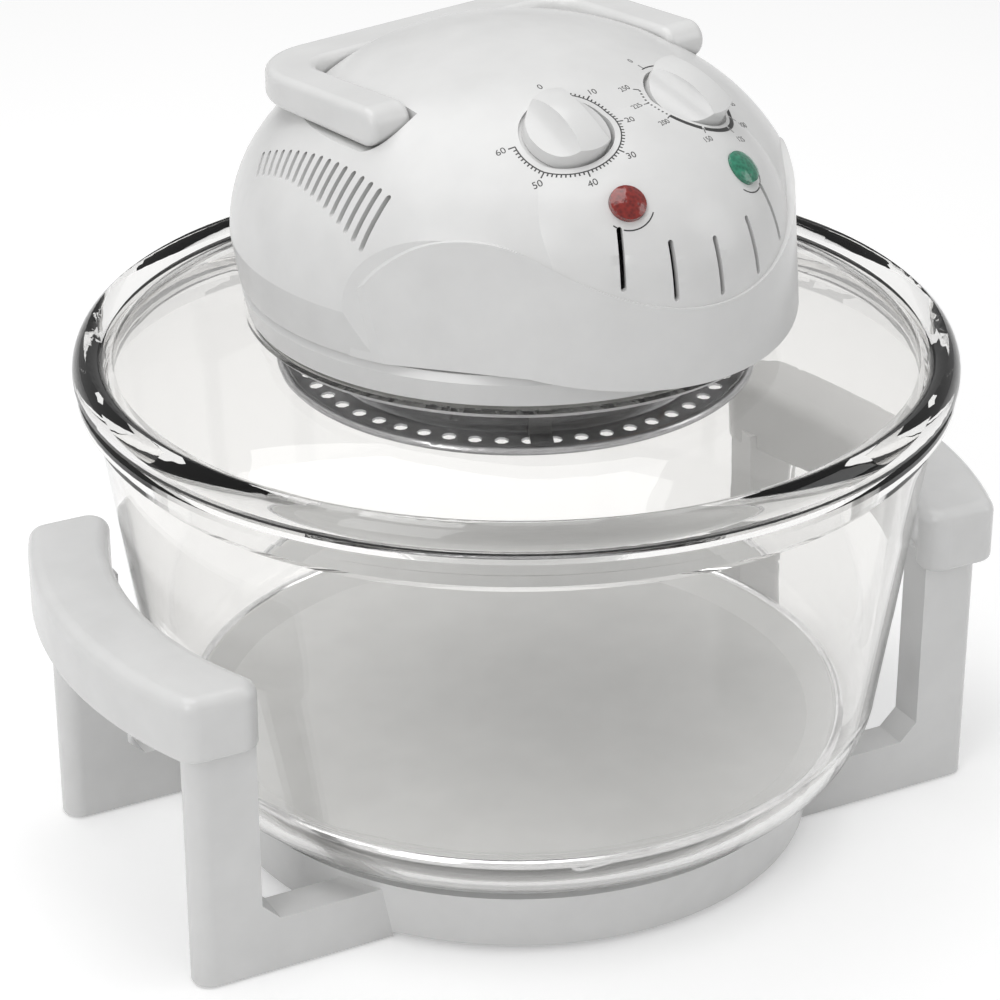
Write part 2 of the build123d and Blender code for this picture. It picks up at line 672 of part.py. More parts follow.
def handle_pins():
    """Pins that stand out of the pocket's inner walls into the handle's arms."""
    inner = HANDLE_OUTER_X - HANDLE_BAR - HANDLE_GAP - WALL
    pin = rod((inner - 1.2, HANDLE_PIVOT_Y, HANDLE_PIVOT_Z),
              (HANDLE_OUTER_X - 4.0, HANDLE_PIVOT_Y, HANDLE_PIVOT_Z), PIN_RADIUS)
    return Compound(children=[pin, mirrored(pin)])


def vent_slots(side):
    """Slots through one flank of the dome, longest towards the front and leaning more to the back."""
    slots = []
    for i in range(VENTS):
        share = i / (VENTS - 1)
        top = bow(share, *VENT_TOPS)
        foot = bow(share, *VENT_FEET)
        lean = bow(share, *VENT_LEANS)
        length = (top - foot) / cos(radians(lean))
        place = Plane.YZ * Pos(VENT_FRONT_Y + VENT_PITCH * i, (top + foot) / 2) * Rot(0, 0, 90.0 - lean)
        slot = extrude(place * SlotOverall(length, VENT_WIDTH), 20.0, both=True)
        slots.append(Pos(side * 90.0, 0, 0) * slot)
    return slots


def groove_slots():
    """Upright slots in the band between the crease and the panel."""
    slots = []
    for i in range(GROOVES):
        turn = GROOVE_STEP * (i - (GROOVES - 1) / 2)
        x = NOSE_RADIUS * sin(radians(turn))
        low = crease_level(x) + GROOVE_RISE
        slot = extrude(Plane.YZ * Pos(0, low + GROOVE_LENGTH / 2) * Rot(0, 0, 90) * SlotOverall(
            GROOVE_LENGTH, GROOVE_WIDTH), 100.0)
        slot = slot & block(56.0, 100.0, -10, 10, 230, 290)
        slots.append(Pos(0, -NOSE_FORWARD, 0) * Rot(0, 0, -90.0 + turn) * slot)
    return slots


def boss_places():
    return [(BOSS_RING * cos(radians(angle)), BOSS_RING * sin(radians(angle))) for angle in BOSS_ANGLES]


def screw_bores(top):
    """Pilot holes for the four screws that hold pan, flange and cover together."""
    return Compound(children=[disc(SCREW_RADIUS, NECK_BOTTOM, top, x, y) for x, y in boss_places()])


def upper_housing():
    """Moulded cover of the head, with its panel, scoops, vents, slots and handle pocket."""
    clear_radius = DOME_FOOT_RADIUS - 0.4
    outside = head_form() + front_skirt() - disc(clear_radius, HOUSING_BOTTOM - 30.0, HOUSING_BOTTOM)
    inside = head_form(WALL) - handle_pocket(HANDLE_GAP + WALL)
    for side in (-1, 1):
        inside = inside - panel_disc(knob_plane(side), RECESS_RADIUS + WALL, TIMER_FACE, 30.0)
    for x, y in boss_places():
        inside = inside - disc(BOSS_RADIUS, HOUSING_BOTTOM - 1.0, DOME_TOP, x, y)
    shell = outside - inside
    shell = join([shell] + [disc(BOSS_RADIUS, SHELF_TOP, HOUSING_BOTTOM + 4.0, x, y) for x, y in boss_places()])
    shell = shell - handle_pocket(HANDLE_GAP)
    for side in (-1, 1):
        knob = knob_plane(side)
        lamp = lamp_plane(side)
        shell = shell - panel_disc(knob, RECESS_RADIUS, -RECESS_DEPTH, 20.0)
        shell = shell - panel_disc(knob, SHAFT_RADIUS + SHAFT_HOLE_GAP, -30.0, 0.0)
        shell = shell - panel_disc(lamp, LENS_RADIUS + 0.1, -1.2, 12.0)
        shell = shell - panel_disc(lamp, LENS_STEM + 0.1, -8.0, 0.0)
    for cut in vent_slots(-1) + vent_slots(1) + groove_slots():
        shell = shell - cut
    shell = shell - screw_bores(HOUSING_BOTTOM + 22.0)
    inner = HANDLE_OUTER_X - HANDLE_BAR - HANDLE_GAP
    for side in (-1, 1):
        shell = shell - rod((side * (inner - WALL - 0.5), HANDLE_PIVOT_Y, HANDLE_PIVOT_Z),
                            (side * (inner + 0.5), HANDLE_PIVOT_Y, HANDLE_PIVOT_Z), PIN_RADIUS)
    shell = shell - disc(PLUNGER_RADIUS + 0.1, POCKET_FLOOR - 5.0, POCKET_FLOOR + 1.0, -PLUNGER_X, PLUNGER_Y)
    return shell - rod((0, 90.0, GLAND_Z), (0, 115.0, GLAND_Z), GLAND_RADIUS)


def lower_housing():
    """Flange ring on the glass, with a neck through the glass and a shelf for the pan and bosses."""
    rim_in = FLANGE_RADIUS - WALL - 0.2
    ring = lathe([
        (NECK_RADIUS - NECK_WALL, NECK_BOTTOM), (NECK_RADIUS, NECK_BOTTOM), (NECK_RADIUS, FLANGE_BOTTOM),
        (FLANGE_RADIUS, FLANGE_BOTTOM), (FLANGE_RADIUS + 1.9, SEAM - 2.8), (FLANGE_RADIUS + 0.3, SEAM),
        (rim_in, SEAM), (rim_in, SHELF_TOP), (NECK_RADIUS - 12.8, SHELF_TOP),
        (NECK_RADIUS - 12.8, SHELF_UNDER), (NECK_RADIUS - NECK_WALL, SHELF_UNDER),
    ])
    lip = tube(DOME_FOOT_RADIUS - WALL - 0.5, rim_in, SEAM - 0.5, SEAM + 6.0)
    for side in (-1, 1):
        lip = lip - (scoop_cutter(WALL + 0.5, side) & block(-150, 150, -150, 150, SEAM, SEAM + 10.0))
    return join([ring, lip]) - screw_bores(SHELF_TOP + 5.0)


def head_gasket():
    return tube(FLANGE_RADIUS - 1.5, LID_HOLE_RADIUS + 1.0, LID_CROWN, FLANGE_BOTTOM)


def clamp_gasket():
    return tube(LID_HOLE_RADIUS + 6.5, LID_HOLE_RADIUS + 1.0, LID_CROWN - GLASS - SEAT_GAP, LID_CROWN - GLASS)


def clamp_ring():
    top = LID_CROWN - GLASS - SEAT_GAP
    return lathe([
        (NECK_RADIUS, NECK_BOTTOM + 0.4), (NECK_RADIUS + 1.6, NECK_BOTTOM + 0.4), (NECK_RADIUS + 1.6, top - 1.2),
        (LID_HOLE_RADIUS + 7.0, top - 1.2), (LID_HOLE_RADIUS + 7.0, top), (NECK_RADIUS, top),
    ])


def housing_screws():
    screws = []
    for x, y in boss_places():
        head = disc(2 * SCREW_RADIUS, PAN_UNDER - 2.0, PAN_UNDER, x, y)
        screws.append(head + disc(SCREW_RADIUS, PAN_UNDER - 0.5, HOUSING_BOTTOM + 20.0, x, y))
    return Compound(children=screws)


def cord_gland():
    """Empty bush in the back wall where a lead would enter."""
    body = rod((0, 92.0, GLAND_Z), (0, 110.0, GLAND_Z), GLAND_RADIUS)
    collar = rod((0, 100.0, GLAND_Z), (0, 107.0, GLAND_Z), GLAND_RADIUS + 2.5) - main_dome()
    nut = rod((0, 95.0, GLAND_Z), (0, 103.0, GLAND_Z), GLAND_RADIUS + 2.5) & main_dome(WALL)
    return join([body, collar, nut]) - rod((0, 85.0, GLAND_Z), (0, 120.0, GLAND_Z), CORD_RADIUS)


# ---------------------------------------------------------------- controls
def control_knob(side):
    """Dished round plate with a fat grip bar across it."""
    base = -RECESS_DEPTH + KNOB_GAP
    top = base + KNOB_HEIGHT
    body = Cylinder(KNOB_RADIUS, KNOB_HEIGHT)
    body = Pos(0, 0, base + KNOB_HEIGHT / 2) * body
    crown = Pos(0, 0, top - 34.0) * Sphere(34.0)
    body = body & crown
    flank_radius = KNOB_HEIGHT - KNOB_PLATE + 3.0
    for way in (-1, 1):
        offset = way * (KNOB_BAR / 2 + flank_radius)
        flank = Pos(offset, 0, base + KNOB_PLATE + flank_radius) * Rot(90, 0, 0) * Cylinder(flank_radius, 60.0)
        body = body - flank
    body = body - Pos(0, 0, base + 4.0) * Cylinder(SHAFT_RADIUS, 8.0 + 0.02)
    return knob_plane(side) * Rot(0, 0, OFF_TURN) * body


def control_shaft(side):
    """Shaft from the knob down into its mechanism."""
    return panel_disc(knob_plane(side), SHAFT_RADIUS, TIMER_FACE - 10.0, -RECESS_DEPTH + KNOB_GAP + 8.0)


def shaft_bore(side):
    return panel_disc(knob_plane(side), SHAFT_RADIUS + RUNNING_GAP, TIMER_FACE - 10.5, 0.0)


def timer_body():
    """Clockwork timer under the left knob."""
    case = panel_disc(knob_plane(-1), TIMER_RADIUS, TIMER_FACE - TIMER_DEPTH, TIMER_FACE)
    post = panel_disc(knob_plane(-1), 2.0, TIMER_FACE - TIMER_DEPTH - 2.0, TIMER_FACE - TIMER_DEPTH + 1.0)
    return case + post - shaft_bore(-1)


def timer_bell():
    """Shallow bell cup on a post under the timer."""
    low = TIMER_FACE - TIMER_DEPTH - 8.0
    cup = Cylinder(14.0, 6.0) - Pos(0, 0, -1.0) * Cylinder(13.0, 6.0)
    return knob_plane(-1) * Pos(0, 0, low + 3.0) * cup


def thermostat_body():
    """Thermostat under the right knob."""
    x, y, z = THERMOSTAT_SIZE
    case = Pos(0, 0, TIMER_FACE - 3.0 - z / 2) * Box(x, y, z)
    collar = Pos(0, 0, TIMER_FACE - 1.5) * Cylinder(9.0, 3.0)
    return knob_plane(1) * (case + collar) - shaft_bore(1)


def thermostat_bulb():
    """Sensing bulb under the pan, with its capillary tube up to the thermostat."""
    bottom = knob_plane(1) * Pos(0, 0, TIMER_FACE - 3.0 - THERMOSTAT_SIZE[2])
    x, y, z = bottom.position
    level = PAN_UNDER - 4.0
    bulb_y = -74.0
    tube_run = bent_rod([(x, y, z), (x, y, level), (x, bulb_y, level), (x - 10.0, bulb_y, level)], 0.8, 4.0)
    bulb = rod((x - 9.0, bulb_y, level), (-x, bulb_y, level), 2.5)
    hangers = [block(at - 2.0, at + 2.0, bulb_y - 1.5, bulb_y + 1.5, level, PAN_UNDER) for at in (-18.0, 8.0)]
    return join([bulb, tube_run] + hangers)


def capillary_hole():
    bottom = knob_plane(1) * Pos(0, 0, TIMER_FACE - 3.0 - THERMOSTAT_SIZE[2])
    x, y, _ = bottom.position
    return disc(1.6, PAN_UNDER - 1.0, SHELF_UNDER + 1.0, x, y)


def pilot_lens(side):
    """Domed lens that snaps into the panel."""
    flange = Pos(0, 0, -0.2) * Cylinder(LENS_RADIUS, 2.0)
    crown = Pos(0, 0, 0.8 - 12.0) * Sphere(sqrt(12.0 ** 2 + LENS_RADIUS ** 2))
    cap = crown & (Pos(0, 0, 3.0) * Cylinder(LENS_RADIUS, 4.6))
    stem = Pos(0, 0, -2.7) * Cylinder(LENS_STEM, 3.2)
    return lamp_plane(side) * join([flange, cap, stem])


def pilot_lamp_holders():
    holders = []
    for side in (-1, 1):
        holders.append(panel_disc(lamp_plane(side), LENS_STEM, -18.0, -4.3))
    return Compound(children=holders)


def switch_level():
    """Underside of the pocket's floor, where the safety switch sits."""
    return POCKET_FLOOR - WALL


def plunger_top():
    return HANDLE_BOTTOM - FREE_GAP


def safety_switch():
    top = switch_level()
    case = block(-PLUNGER_X - 5.0, -PLUNGER_X + 5.0, PLUNGER_Y - 8.0, PLUNGER_Y + 8.0, top - 17.0, top)
    bore = disc(PLUNGER_RADIUS + 0.1, plunger_top() - PLUNGER_LENGTH - 0.8, top + 1.0, -PLUNGER_X, PLUNGER_Y)
    return case - bore


def switch_plunger():
    return disc(PLUNGER_RADIUS, plunger_top() - PLUNGER_LENGTH, plunger_top(), -PLUNGER_X, PLUNGER_Y)


# ---------------------------------------------------------------- heater unit
def reflector():
    """Pressed metal pan behind the lamp."""
    outer = NECK_RADIUS - NECK_WALL - 0.2
    pan = lathe([
        (6.0, PAN_UNDER), (outer - PAN_SHEET, PAN_UNDER), (outer - PAN_SHEET, SHELF_UNDER - PAN_SKIRT),
        (outer, SHELF_UNDER - PAN_SKIRT), (outer, SHELF_UNDER), (6.0, SHELF_UNDER),
    ])
    return pan - screw_bores(SHELF_TOP) - capillary_hole()


def lamp_guard():
    """Perforated disc with a raised middle and a rolled rim."""
    low = GUARD_LEVEL - GUARD_SHEET / 2
    high = low + GUARD_STEP
    edge = GUARD_RADIUS - GUARD_BEAD
    plate = lathe([
        (0, high), (GUARD_STEP_RADIUS - 1.5, high), (GUARD_STEP_RADIUS, low), (edge, low),
        (edge, low + GUARD_SHEET), (GUARD_STEP_RADIUS + 0.8, low + GUARD_SHEET),
        (GUARD_STEP_RADIUS - 0.7, high + GUARD_SHEET), (0, high + GUARD_SHEET),
    ])
    holes = []
    for radius, count in GUARD_ROWS:
        drill = Pos(radius, 0, low - 2.0) * extrude(RegularPolygon(GUARD_HOLE, 8, rotation=22.5), 8.0)
        holes = holes + ring_of(drill, count)
    return plate.cut(*holes) + wire_ring(edge, GUARD_BEAD, GUARD_LEVEL)


def guard_straps():
    """Three strips that hang the guard from the pan."""
    low = GUARD_LEVEL + GUARD_SHEET / 2
    half = STRAP_WIDTH / 2
    upright = block(76.0, 77.0, -half, half, low, PAN_UNDER)
    foot = block(77.0, 83.0, -half, half, low, low + 1.0)
    lug = block(77.0, 83.0, -half, half, PAN_UNDER - 1.0, PAN_UNDER)
    strap = join([upright, foot, lug])
    return Compound(children=[Rot(0, 0, angle) * strap for angle in STRAP_ANGLES])


def heater_ring():
    return wire_ring(HEATER_RADIUS, HEATER_TUBE, HEATER_LEVEL)


def halogen_lamp():
    """Ring-shaped quartz tube with a gap at the back for its end caps."""
    half = radians(HEATER_GAP / 2)
    reach = 120.0
    wedge = make_face(Polyline((0, 0), (reach * sin(half), reach * cos(half)), (-reach * sin(half), reach * cos(half)),
                               close=True))
    return heater_ring() - Pos(0, 0, HEATER_LEVEL - 20.0) * extrude(wedge, 40.0)


def cap_location(way):
    """Place of an end cap, with Z along the lamp's tube."""
    turn = 90.0 + way * (HEATER_GAP / 2 - 3.5)
    spot = Rot(0, 0, turn) * Pos(HEATER_RADIUS, 0, HEATER_LEVEL)
    return spot * Rot(-90, 0, 0)


def lamp_end_caps():
    """Ceramic caps on the lamp's two ends."""
    lamp = halogen_lamp()
    caps = [cap_location(way) * Cylinder(CAP_RADIUS, CAP_LENGTH) - lamp for way in (-1, 1)]
    return Compound(children=caps)


def lamp_holders():
    """Two ceramic blocks above the end caps and two wire hangers, all on the pan."""
    caps = Compound(children=[cap_location(way) * Cylinder(CAP_RADIUS, CAP_LENGTH + 20.0) for way in (-1, 1)])
    pieces = []
    for way in (-1, 1):
        turn = 90.0 + way * (HEATER_GAP / 2 - 3.5)
        stand = block(HEATER_RADIUS - 4.0, HEATER_RADIUS + 4.0, -3.0, 3.0, HEATER_LEVEL + 2.0, PAN_UNDER)
        pieces.append(Rot(0, 0, turn) * stand - caps)
    loop = Pos(HEATER_RADIUS, 0, HEATER_LEVEL) * Rot(90, 0, 0) * Torus(HEATER_TUBE + 0.9, 0.8)
    stem = rod((HEATER_RADIUS, 0, HEATER_LEVEL + HEATER_TUBE + 0.9), (HEATER_RADIUS, 0, PAN_UNDER), 0.8)
    for turn in (210.0, 330.0):
        pieces.append(Rot(0, 0, turn) * (loop + stem))
    return Compound(children=pieces)


# ---------------------------------------------------------------- fan motor
def motor_shaft():
    return disc(MOTOR_SHAFT_RADIUS, FAN_BOTTOM - 3.0, COOLER_BOTTOM + COOLER_HEIGHT + 1.0)


def fan_nut():
    hexagon = Pos(0, 0, FAN_BOTTOM - 2.6) * extrude(RegularPolygon(4.4, 6), 2.6)
    return hexagon - disc(MOTOR_SHAFT_RADIUS, 180, 220)


def convection_fan():
    """Pressed disc with bent-down radial blades."""
    top = FAN_BOTTOM + FAN_HEIGHT
    hub = disc(7.0, FAN_BOTTOM, top)
    plate = disc(FAN_RADIUS, top - 1.0, top)
    blade = Rot(0, 0, 12) * block(12.0, FAN_RADIUS - 1.0, -0.5, 0.5, FAN_BOTTOM, top - 0.5)
    return join([hub, plate] + ring_of(blade, FAN_BLADES)) - disc(MOTOR_SHAFT_RADIUS, 180, 220)


def cooling_fan():
    """Small bladed wheel over the motor."""
    hub = disc(6.5, COOLER_BOTTOM, COOLER_BOTTOM + COOLER_HEIGHT)
    blade = Pos((COOLER_RADIUS + 5.0) / 2, 0, COOLER_BOTTOM + COOLER_HEIGHT / 2) * Rot(32, 0, 0) * Box(
        COOLER_RADIUS - 5.0, 9.5, 1.0)
    wheel = join([hub] + ring_of(blade, COOLER_BLADES))
    return wheel - disc(MOTOR_SHAFT_RADIUS, 240, 290)


def motor_rotor():
    body = disc(ROTOR_RADIUS, STACK_BOTTOM + 1.0, STACK_BOTTOM + STACK_HEIGHT - 1.0)
    return body - disc(MOTOR_SHAFT_RADIUS, 200, 290)


def motor_stack():
    """Laminated core with the rotor's bore and a window for the coil."""
    half = STACK_WIDTH / 2
    top = STACK_BOTTOM + STACK_HEIGHT
    core = block(-20.0, 40.0, -half, half, STACK_BOTTOM, top)
    window = block(16.5, 30.0, -14.0, 14.0, STACK_BOTTOM - 1.0, top + 1.0)
    return core - window - disc(ROTOR_RADIUS + ROTOR_GAP, STACK_BOTTOM - 1.0, top + 1.0)


def motor_coil():
    """Winding round the core's outer limb."""
    top = STACK_BOTTOM + STACK_HEIGHT
    winding = block(25.0, 45.0, -12.0, 12.0, STACK_BOTTOM - 5.0, top + 5.0)
    winding = fillet(winding.edges().filter_by(Axis.Y), 4.0)
    return winding - block(30.0, 40.0, -20.0, 20.0, STACK_BOTTOM, top)


def motor_bracket():
    """Strap that carries the motor on the pan."""
    plate = block(-9.0, 9.0, -40.0, 40.0, STACK_BOTTOM - 2.0, STACK_BOTTOM)
    pieces = [plate]
    for way in (-1, 1):
        low, high = sorted((way * 38.0, way * 40.0))
        pieces.append(block(-9.0, 9.0, low, high, SHELF_UNDER, STACK_BOTTOM))
        low, high = sorted((way * 39.0, way * 49.0))
        pieces.append(block(-9.0, 9.0, low, high, SHELF_UNDER, SHELF_UNDER + 2.0))
    return join(pieces) - disc(BEARING_RADIUS, 200, 290)


def motor_bridge():
    """Upper strap on the core."""
    top = STACK_BOTTOM + STACK_HEIGHT
    half = STACK_WIDTH / 2
    return block(-8.0, 8.0, -half, half, top, top + 1.6) - disc(BEARING_RADIUS, 200, 290)


def motor_bearings():
    """Two sintered bushes for the shaft."""
    bore = MOTOR_SHAFT_RADIUS + RUNNING_GAP
    top = STACK_BOTTOM + STACK_HEIGHT
    lower = tube(BEARING_RADIUS, bore, STACK_BOTTOM - 7.0, STACK_BOTTOM)
    upper = tube(BEARING_RADIUS, bore, top, top + 4.5)
    return Compound(children=[lower, upper])


def terminal_block():
    case = block(-16.0, 16.0, 58.0, 70.0, SHELF_UNDER, SHELF_UNDER + 13.0)
    wells = [disc(2.0, SHELF_UNDER + 6.0, SHELF_UNDER + 14.0, x, 64.0) for x in (-10.0, 0.0, 10.0)]
    return case.cut(*wells)


def thermal_fuse():
    level = SHELF_UNDER + 3.0
    case = rod((-52.0, 22.0, level), (-52.0, 40.0, level), 2.6)
    leads = rod((-52.0, 14.0, level), (-52.0, 48.0, level), 0.7)
    clip = block(-56.5, -47.5, 28.0, 34.0, SHELF_UNDER, SHELF_UNDER + 1.2)
    return join([case, leads, clip])


# ---------------------------------------------------------------- write out
def turned(shape):
    """Piece of the stand, in its place under the head."""
    return Rot(0, 0, STAND_TURN) * shape


NODES = {
    "base_ring": lambda: turned(base_ring()),
    "right_handle_bracket": lambda: turned(handle_bracket()),
    "left_handle_bracket": lambda: turned(mirror(handle_bracket(), Plane.YZ)),
    "stand_feet": lambda: turned(stand_feet()),
    "bracket_screws": lambda: turned(bracket_screws()),
    "glass_bowl": glass_bowl,
    "low_rack": low_rack,
    "baking_tray": baking_tray,
    "tray_rim": tray_rim,
    "glass_lid": glass_lid,
    "head_gasket": head_gasket,
    "clamp_gasket": clamp_gasket,
    "clamp_ring": clamp_ring,
    "lower_housing": lower_housing,
    "upper_housing": upper_housing,
    "housing_screws": housing_screws,
    "cord_gland": cord_gland,
    "carry_handle": carry_handle,
    "handle_pins": handle_pins,
    "safety_switch": safety_switch,
    "switch_plunger": switch_plunger,
    "timer_knob": lambda: control_knob(-1),
    "timer_shaft": lambda: control_shaft(-1),
    "timer_body": timer_body,
    "timer_bell": timer_bell,
    "temperature_knob": lambda: control_knob(1),
    "thermostat_shaft": lambda: control_shaft(1),
    "thermostat_body": thermostat_body,
    "thermostat_bulb": thermostat_bulb,
    "power_lens": lambda: pilot_lens(-1),
    "heat_lens": lambda: pilot_lens(1),
    "pilot_lamp_holders": pilot_lamp_holders,
    "reflector": reflector,
    "lamp_guard": lamp_guard,
    "guard_straps": guard_straps,
    "halogen_lamp": halogen_lamp,
    "lamp_end_caps": lamp_end_caps,
    "lamp_holders": lamp_holders,
    "motor_shaft": motor_shaft,
    "fan_nut": fan_nut,
    "convection_fan": convection_fan,
    "cooling_fan": cooling_fan,
    "motor_rotor": motor_rotor,
    "motor_stack": motor_stack,
    "motor_coil": motor_coil,
    "motor_bracket": motor_bracket,
    "motor_bridge": motor_bridge,
    "motor_bearings": motor_bearings,
    "terminal_block": terminal_block,
    "thermal_fuse": thermal_fuse,
}

for name, make in NODES.items():
    export_step(make(), f"parts/{name}.step")
    print("wrote", name)
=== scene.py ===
# %% [markdown]
# # A halogen oven, dressed for the camera
# Every cell below gives one piece or one finish of the oven the look of the real thing. The control
# panel faces -Y, and the bowl's axis is the Z axis.

from math import cos, radians, sin

import bpy
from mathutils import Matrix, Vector
from mathutils.bvhtree import BVHTree


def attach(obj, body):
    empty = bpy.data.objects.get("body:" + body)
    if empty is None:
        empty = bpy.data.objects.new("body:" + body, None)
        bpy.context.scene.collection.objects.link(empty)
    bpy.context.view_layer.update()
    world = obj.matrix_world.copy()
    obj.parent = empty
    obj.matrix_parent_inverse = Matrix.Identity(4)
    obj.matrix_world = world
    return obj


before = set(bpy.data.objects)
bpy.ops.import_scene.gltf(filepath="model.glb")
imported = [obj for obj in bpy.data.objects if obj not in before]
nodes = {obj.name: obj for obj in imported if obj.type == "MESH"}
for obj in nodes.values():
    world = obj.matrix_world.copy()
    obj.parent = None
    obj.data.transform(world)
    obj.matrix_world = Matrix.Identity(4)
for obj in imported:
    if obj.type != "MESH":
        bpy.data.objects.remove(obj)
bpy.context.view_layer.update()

MM = 0.001

# %% [markdown]
# ## The camera
# A product photograph is taken from well back with a long lens, so that the near and far rims of the
# bowl look almost the same size.  The camera's place is worked out from the height and direction of the
# view, because those are the numbers a photographer would set on the stand.

# %% Camera
VIEW_AZIMUTH = -39.5        # degrees round the oven from the front
VIEW_ELEVATION = 26.56      # degrees above the table
VIEW_DISTANCE = 1.2449      # metres from the aim point
AIM_SIDE = -0.00596         # the aim point is this far to the right of the bowl's axis
AIM_HEIGHT = 0.12736
LENS = 118.6                # millimetres on a 36 mm sensor


def view_axes(azimuth, elevation):
    """Directions to the right of the view and back towards the camera."""
    a, e = radians(azimuth), radians(elevation)
    right = Vector((cos(a), sin(a), 0))
    back = Vector((sin(a) * cos(e), -cos(a) * cos(e), sin(e)))
    return right, back


def make_camera():
    right, back = view_axes(VIEW_AZIMUTH, VIEW_ELEVATION)
    camera = bpy.data.objects.new("camera", bpy.data.cameras.new("camera"))
    bpy.context.scene.collection.objects.link(camera)
    camera.location = right * AIM_SIDE + Vector((0, 0, AIM_HEIGHT)) + back * VIEW_DISTANCE
    camera.rotation_mode = "QUATERNION"
    camera.rotation_quaternion = back.to_track_quat("Z", "Y")
    camera.data.lens = LENS
    camera.data.sensor_width = 36.0
    camera.data.clip_start = 0.05
    camera.data.clip_end = 60.0
    bpy.context.scene.camera = camera
    return camera


camera = make_camera()
bpy.context.scene.view_settings.view_transform = "Standard"
print("camera at", [round(v, 3) for v in camera.location])

# %% [markdown]
# ## Small helpers for materials
# Every finish is a node tree.  A node tree is easiest to read when each node is made in one line and
# its inputs are named, so this helper makes a node and fills its sockets.


# %% Material helpers
def node(tree, kind, **values):
    """A new node; underscores in the names stand for spaces, and a socket value links the two."""
    made = tree.nodes.new(kind)
    for name, value in values.items():
        if name.startswith("set_"):
            setattr(made, name[4:], value)
            continue
        socket = made.inputs[name.replace("_", " ")]
        if isinstance(value, bpy.types.NodeSocket):
            tree.links.new(value, socket)
        else:
            socket.default_value = value
    return made


def new_material(name):
    """An empty node material with its output, and the tree to fill."""
    material = bpy.data.materials.new(name)
    material.use_nodes = True
    tree = material.node_tree
    tree.nodes.clear()
    output = tree.nodes.new("ShaderNodeOutputMaterial")
    return material, tree, output


def colour(red, green, blue):
    return (red, green, blue, 1.0)


def shades(tree, factor, low, high, start=0.0, end=1.0):
    """A ramp from one colour to another."""
    ramp = tree.nodes.new("ShaderNodeValToRGB")
    ramp.color_ramp.elements[0].position = start
    ramp.color_ramp.elements[0].color = low
    ramp.color_ramp.elements[1].position = end
    ramp.color_ramp.elements[1].color = high
    tree.links.new(factor, ramp.inputs["Fac"])
    return ramp.outputs["Color"]


def spread(tree, factor, low, high):
    """Values between low and high, following a 0 to 1 factor."""
    return node(tree, "ShaderNodeMapRange", Value=factor, To_Min=low, To_Max=high).outputs["Result"]


def mottling(tree, scale, detail=4.0):
    """Soft uneven patches that follow the object's own coordinates."""
    place = tree.nodes.new("ShaderNodeTexCoord").outputs["Object"]
    return node(tree, "ShaderNodeTexNoise", Vector=place, Scale=scale, Detail=detail).outputs["Fac"]


# %% [markdown]
# ## Gloss white plastic
# The stand, the casings, the knobs and the handle are moulded in white plastic with a polished mould.
# Up close such a part has a very faint waviness in its gloss, and its white isn't quite even.  A noise
# drives a narrow colour ramp, the roughness and a very low bump, which reads as plastic and not as paint.


# %% White plastic
def moulded_plastic(name, low, high, rough_low, rough_high, bump):
    material, tree, output = new_material(name)
    patches = mottling(tree, 60.0)
    ripple = mottling(tree, 900.0, 2.0)
    normal = node(tree, "ShaderNodeBump", Height=ripple, Strength=bump, Distance=0.00005).outputs["Normal"]
    shader = node(tree, "ShaderNodeBsdfPrincipled", Base_Color=shades(tree, patches, low, high, 0.3, 0.7),
                  Roughness=spread(tree, patches, rough_low, rough_high), Normal=normal)
    tree.links.new(shader.outputs["BSDF"], output.inputs["Surface"])
    return material


WHITE_LOW = colour(0.74, 0.74, 0.735)
WHITE_HIGH = colour(0.78, 0.78, 0.775)
white_plastic = moulded_plastic("white_plastic", WHITE_LOW, WHITE_HIGH, 0.20, 0.28, 0.15)
black_plastic = moulded_plastic("black_plastic", colour(0.02, 0.02, 0.02), colour(0.035, 0.035, 0.035),
                                0.35, 0.5, 0.3)
rubber = moulded_plastic("rubber_feet", colour(0.03, 0.03, 0.03), colour(0.05, 0.05, 0.05), 0.7, 0.85, 0.5)
silicone = moulded_plastic("silicone", colour(0.55, 0.55, 0.53), colour(0.62, 0.62, 0.6), 0.45, 0.6, 0.3)
ceramic = moulded_plastic("ceramic", colour(0.72, 0.70, 0.64), colour(0.8, 0.78, 0.72), 0.6, 0.8, 0.5)
coil_wrap = moulded_plastic("coil_wrap", colour(0.45, 0.3, 0.08), colour(0.6, 0.42, 0.14), 0.4, 0.6, 0.5)
print("plastics made:", white_plastic.name, black_plastic.name)

# %% [markdown]
# ## Metals
# Chrome wire and the pressed lamp guard are bright; zinc-plated steel is greyer and has fine rolling
# lines.  The lines come from a noise that is stretched along one direction.


# %% Metals
def metal(name, low, high, rough_low, rough_high, stretch=(1.0, 1.0, 12.0)):
    material, tree, output = new_material(name)
    place = tree.nodes.new("ShaderNodeTexCoord").outputs["Object"]
    stretched = node(tree, "ShaderNodeMapping", Vector=place, Scale=stretch).outputs["Vector"]
    lines = node(tree, "ShaderNodeTexNoise", Vector=stretched, Scale=180.0, Detail=3.0).outputs["Fac"]
    normal = node(tree, "ShaderNodeBump", Height=lines, Strength=0.08, Distance=0.00005).outputs["Normal"]
    shader = node(tree, "ShaderNodeBsdfPrincipled", Base_Color=shades(tree, lines, low, high, 0.3, 0.7),
                  Metallic=1.0, Roughness=spread(tree, lines, rough_low, rough_high), Normal=normal)
    tree.links.new(shader.outputs["BSDF"], output.inputs["Surface"])
    return material


